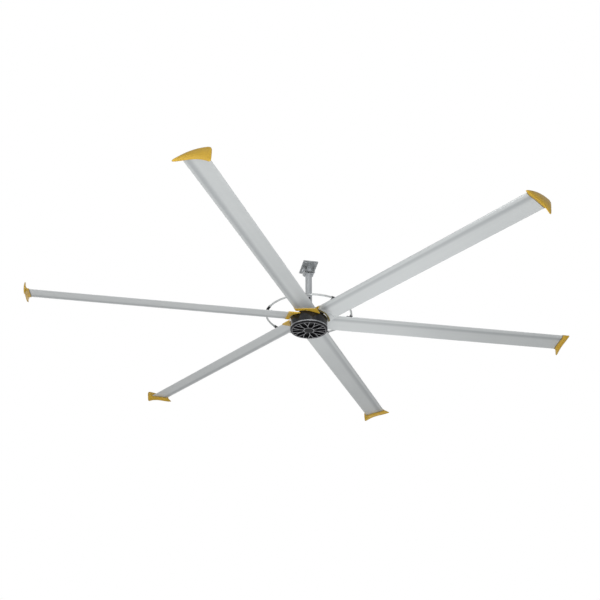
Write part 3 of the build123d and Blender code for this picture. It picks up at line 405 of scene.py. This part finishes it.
def collar_outline(grow):
    """The collar seen along the blade: over the top to the front, under it to the back, and up the back."""
    shares = [(step / OUTLINE_STEPS) ** 1.5 for step in range(OUTLINE_STEPS + 1)]
    over = [section_point(share, 1, grow) for share in reversed(shares)]
    under = [section_point(share, -1, grow) for share in shares[1:]]
    low, high = Vector(under[-1]), Vector(over[0])
    back = [tuple(low.lerp(high, step / BACK_STEPS)) for step in range(1, BACK_STEPS)]
    sine, cosine = math.sin(PITCH), math.cos(PITCH)
    return [(behind * cosine + height * sine, PITCH_AXIS_RISE - behind * sine + height * cosine)
            for behind, height in over + under + back]


def through(places, at):
    """The height at a place of the smooth line through some points."""
    total = 0.0
    for here, height in places:
        for other, _ in places:
            if other != here:
                height *= (at - other) / (here - other)
        total += height
    return total


def fin_outline():
    """The fin seen along the blade, in the collar's order: pointed in front, blunt and tall behind."""
    shares = [step / OUTLINE_STEPS for step in range(OUTLINE_STEPS + 1)]
    front, top, foot = FIN_FRONT[0], FIN_BACK_TOP[0], FIN_BACK_FOOT[0]
    over = [top - (top - front) * share for share in shares]
    under = [front + (foot - front) * share for share in shares[1:]]
    points = [Vector((at, through(FIN_OVER, at))) for at in over]
    points += [Vector((at, through(FIN_UNDER, at))) for at in under]
    low, high = points[-1], points[0]
    points += [low.lerp(high, step / BACK_STEPS) for step in range(1, BACK_STEPS)]
    for _ in range(FIN_SMOOTHINGS):
        following = points[1:] + points[:1]
        points = [(points[i - 1] + 2 * points[i] + following[i]) / 4 for i in range(len(points))]
    return points


def fin_face(across, height):
    """How far out the fin's outer face lies: bulged in its middle, leaning out at its top."""
    middle = 1 - ((across - FIN_MIDDLE) / FIN_HALF) ** 2
    return TIP + FIN_REACH + FIN_BULGE * middle + FIN_LEAN * height


def sweep_loop(collar, fin, turn):
    """A loop between the collar and the fin's rim, at an angle of the quarter turn that joins them."""
    loop = []
    for near, far in zip(collar, fin):
        across, height = Vector(near).lerp(far, 1 - math.cos(turn))
        way = fin_face(*far) - FIN_RIM - COLLAR_END
        loop.append((COLLAR_END + way * math.sin(turn), across, height))
    return loop


def rim_loop(fin, inwards, depth):
    """A loop of the fin's rounded rim, under its outer face by a share of the rim."""
    loop = []
    for far in fin:
        across, height = far.lerp(Vector(RIM_CENTRE), inwards)
        dome = FIN_DOME * (1 - (1 - max(0.0, inwards)) ** 2)
        loop.append((fin_face(across, height) + dome - FIN_RIM * depth, across, height))
    return loop


def face_loop(fin, inwards):
    """A loop of the fin's outer face, which is domed towards its spine."""
    loop = []
    for far in fin:
        nearest = max(SPINE_START, min(SPINE_END, far.x))
        across, height = far.lerp(Vector((nearest, through(FIN_SPINE, nearest))), inwards)
        dome = FIN_DOME * (1 - (1 - inwards) ** 2)
        loop.append((fin_face(across, height) + dome, across, height))
    return loop


def winglet_loops():
    """The winglet of blade 1 as loops of points, from its mouth out to the fin's face."""
    mouth, collar, fin = collar_outline(SLIDE_GAP), collar_outline(COLLAR_WALL), fin_outline()
    loops = [[(out, *point) for point in mouth] for out in (TIP + SLIDE_GAP, COLLAR_START)]
    loops += [[(out, *point) for point in collar] for out in (COLLAR_START, COLLAR_END)]
    loops += [sweep_loop(collar, fin, math.radians(turn)) for turn in SWEEP_TURNS]
    loops += [rim_loop(fin, inwards, depth) for inwards, depth in RIM_LOOPS]
    return loops + [face_loop(fin, inwards) for inwards in FACE_LOOPS]


def make_winglet(number, finish):
    """A winglet that grows out of its collar in one sweep."""
    shape = bmesh.new()
    rings = [[shape.verts.new(point) for point in loop] for loop in winglet_loops()]
    for near, far in zip(rings, rings[1:]):
        for i in range(len(near)):
            shape.faces.new((near[i - 1], near[i], far[i], far[i - 1]))
    shape.faces.new(rings[0])
    shape.faces.new(rings[-1])
    bmesh.ops.translate(shape, verts=shape.verts, vec=(0.0, 0.0, HUB_HEIGHT))
    turn = Matrix.Rotation(math.tau / BLADES * (number - 1), 3, "Z")
    bmesh.ops.rotate(shape, verts=shape.verts, cent=(0.0, 0.0, 0.0), matrix=turn)
    bmesh.ops.recalc_face_normals(shape, faces=shape.faces)
    for face in shape.faces:
        face.smooth = True
    winglet = mesh_object(f"swept_winglet_{number}", shape, finish)
    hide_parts(f"winglet_{number}")
    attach(winglet, "rotor")


def mesh_object(name, shape, finish):
    """An object in the scene, made of a shape that isn't used after it."""
    mesh = bpy.data.meshes.new(name)
    shape.to_mesh(mesh)
    shape.free()
    mesh.materials.append(finish)
    made = bpy.data.objects.new(name, mesh)
    bpy.context.collection.objects.link(made)
    return made


def make_camera():
    """The photograph's view, from below and in front: it looks up at the fan and a little to the right."""
    lens = bpy.data.cameras.new("camera")
    lens.lens = CAMERA_LENS
    lens.clip_end = 200.0
    camera = bpy.data.objects.new("camera", lens)
    level = Matrix.Rotation(math.radians(90), 4, "X")
    looks_up = Matrix.Rotation(math.radians(CAMERA_LOOKS_UP), 4, "X")
    to_right = Matrix.Rotation(math.radians(-CAMERA_TO_RIGHT), 4, "Z")
    camera.matrix_world = Matrix.Translation(CAMERA_PLACE) @ to_right @ looks_up @ level
    bpy.context.collection.objects.link(camera)
    bpy.context.scene.camera = camera


def make_world(level):
    """A white world to the eye and in reflections, and a plain level of light on the object."""
    world = bpy.data.worlds.new("world")
    bpy.context.scene.world = world
    nodes = Nodes(world)
    values = {"Value": nodes.seen(), "To Min": level, "To Max": 1.0}
    strength = nodes.node("ShaderNodeMapRange", {}, values)
    values = {"Color": (1.0, 1.0, 1.0, 1.0), "Strength": strength}
    nodes.show("ShaderNodeOutputWorld", nodes.node("ShaderNodeBackground", {}, values))


def make_floor():
    """A plain pale floor far below the fan. It glows a little to the eye, but lights nothing."""
    finish = Finish("floor")
    pale = finish.blended(finish.noise(0.7), shade(236, 236, 236), shade(240, 240, 240))
    glow = finish.blended(finish.seen(), shade(0, 0, 0), shade(188, 188, 188))
    material = finish.surface(pale, 0.9, constants={"Emission Color": glow, "Emission Strength": 1.0})
    shape = bmesh.new()
    bmesh.ops.create_circle(shape, cap_ends=True, segments=96, radius=FLOOR_RADIUS)
    bmesh.ops.translate(shape, verts=shape.verts, vec=(0.0, 0.0, FLOOR_HEIGHT))
    floor = mesh_object("floor", shape, material)
    return floor


def make_lamp(name, place, size, power):
    """A soft square lamp that faces the hub."""
    lamp = bpy.data.lights.new(name, "AREA")
    lamp.shape = "SQUARE"
    lamp.size = size
    lamp.energy = power
    made = bpy.data.objects.new(name, lamp)
    turn = (Vector((0.0, 0.0, HUB_HEIGHT)) - Vector(place)).to_track_quat("-Z", "Y")
    made.matrix_world = Matrix.Translation(place) @ turn.to_matrix().to_4x4()
    made.visible_camera = False
    bpy.context.collection.objects.link(made)
    return made


def leave_dark(lamp, floor):
    """Keeps a lamp's light off the floor just below it."""
    apart = bpy.data.collections.new(f"{lamp.name}_leaves_dark")
    apart.objects.link(floor)
    apart.collection_objects[0].light_linking.link_state = "EXCLUDE"
    lamp.light_linking.receiver_collection = apart


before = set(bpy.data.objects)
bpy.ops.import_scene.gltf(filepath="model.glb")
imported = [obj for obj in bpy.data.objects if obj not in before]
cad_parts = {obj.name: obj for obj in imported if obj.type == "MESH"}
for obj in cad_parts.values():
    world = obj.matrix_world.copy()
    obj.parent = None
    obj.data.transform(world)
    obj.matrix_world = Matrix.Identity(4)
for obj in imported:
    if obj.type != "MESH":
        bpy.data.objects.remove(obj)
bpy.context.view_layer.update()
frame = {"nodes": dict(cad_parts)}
make_camera()
make_world(AMBIENT)
floor = make_floor()
for name, place, size, power in LAMPS:
    lamp = make_lamp(name, place, size, power)
    if place[2] < HUB_HEIGHT:
        leave_dark(lamp, floor)
dress(frame["nodes"])
for number in range(1, BLADES + 1):
    make_winglet(number, FINISHES["cap_yellow"])
bpy.context.scene.view_settings.view_transform = "Standard"
